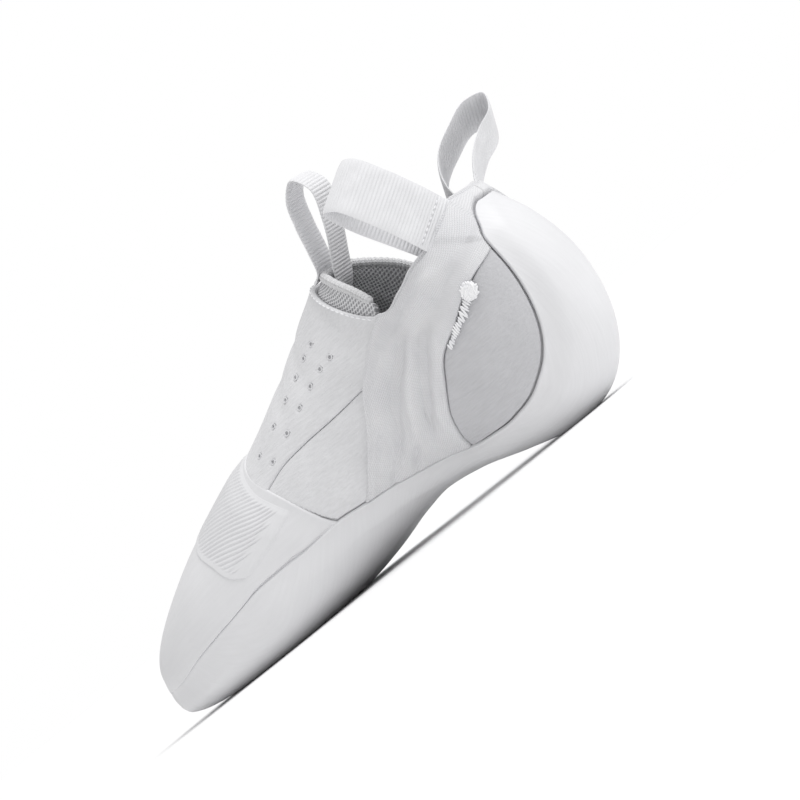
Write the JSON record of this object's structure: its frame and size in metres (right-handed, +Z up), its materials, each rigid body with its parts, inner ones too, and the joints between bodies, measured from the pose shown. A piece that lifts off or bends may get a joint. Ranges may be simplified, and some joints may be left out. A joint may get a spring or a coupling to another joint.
{
  "type": "climbing shoe",
  "caption": "White slip-on climbing shoe for the right foot with a knit stretch band, moulded rubber sole and heel cup, and webbing pull loops.",
  "frame": {"origin": "middle of the shoe's box, on the floor plane that forefoot and heel stand on", "axes": "+Z up, -X towards the toe, -Y towards the medial side of the foot"},
  "size_m": [0.2346, 0.1014, 0.1298],
  "materials": {
    "microfibre": "matt, finely grained",
    "rubber": "satin, moulded",
    "knit": "matt knit",
    "webbing": "ribbed weave"
  },
  "bodies": {
    "root": {"upper": "microfibre", "outsole": "rubber", "heel_cup": "rubber", "toe_cap": "rubber", "insole": "knit", "tongue": "knit", "heel_loop_medial": "webbing", "heel_loop_lateral": "webbing", "tongue_loop": "webbing"}
  },
  "joints": []
}
